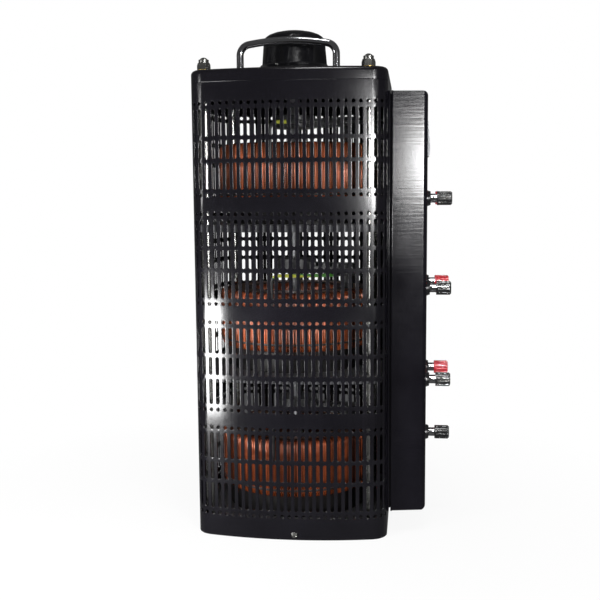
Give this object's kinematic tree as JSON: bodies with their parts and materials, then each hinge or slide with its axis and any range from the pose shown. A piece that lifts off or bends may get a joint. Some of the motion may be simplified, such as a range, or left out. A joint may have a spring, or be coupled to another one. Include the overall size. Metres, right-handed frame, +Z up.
{
  "type": "three-phase variable autotransformer",
  "caption": "Floor-standing three-phase variable autotransformer: ring coils on one shaft in a perforated black cage, with knob, handle and terminal box.",
  "frame": {"origin": "centre of the cage's underside, on the axis of the shaft", "axes": "+Z up along the shaft, +X towards the terminal box, -Y towards the wall behind which the handle stands"},
  "size_m": [0.2895, 0.22, 0.5632],
  "materials": {
    "black_paint": "semi-gloss black powder paint",
    "plate_paint": "satin grey paint",
    "insulation": "matt dark moulded insulation",
    "copper": "varnished copper wire",
    "yellow_zinc": "yellow zinc plating",
    "bright_zinc": "bright zinc plating",
    "chrome": "polished chrome",
    "ground_steel": "turned steel",
    "knob_plastic": "black moulded plastic",
    "dial_sheet": "satin aluminium with a printed scale",
    "arm_alloy": "cast aluminium",
    "carbon": "pressed carbon",
    "meter_grey": "grey moulded plastic",
    "post_black": "black moulded plastic",
    "lead_sleeve": "yellow and green insulation",
    "post_red": "red moulded plastic"
  },
  "bodies": {
    "housing": {"base_plate": "plate_paint", "top_cover": "black_paint", "wall_front": "black_paint", "wall_rear": "black_paint", "wall_left": "black_paint", "wall_right": "black_paint", "corner_front_left": "black_paint", "corner_front_right": "black_paint", "corner_rear_left": "black_paint", "corner_rear_right": "black_paint", "support_plate_1": "plate_paint", "support_plate_2": "plate_paint", "support_plate_3": "plate_paint", "coil_seat_1": "insulation", "coil_seat_2": "insulation", "coil_seat_3": "insulation", "winding_1": "copper", "winding_2": "copper", "winding_3": "copper", "lead_wires": "lead_sleeve", "tie_rods": "yellow_zinc", "spacer_tubes": "bright_zinc", "acorn_nuts": "bright_zinc", "washers": "yellow_zinc", "shaft_bushes": "yellow_zinc", "carry_handle": "chrome", "dial_plate": "dial_sheet", "terminal_box": "black_paint", "meter_cover": "meter_grey", "post_collars": "post_black", "post_studs": "chrome", "post_caps_black": "post_black", "post_caps_red": "post_red"},
    "rotor": {"shaft": "ground_steel", "knob": "knob_plastic", "brush_arm_1": "arm_alloy", "brush_arm_2": "arm_alloy", "brush_arm_3": "arm_alloy", "brush_1": "carbon", "brush_2": "carbon", "brush_3": "carbon"}
  },
  "joints": [
    {"name": "knob_turn", "type": "hinge", "parent": "housing", "child": "rotor", "pos_m": [0, 0, 0.5], "axis": [0, 0, -1], "range_deg": [0, 320]}
  ]
}
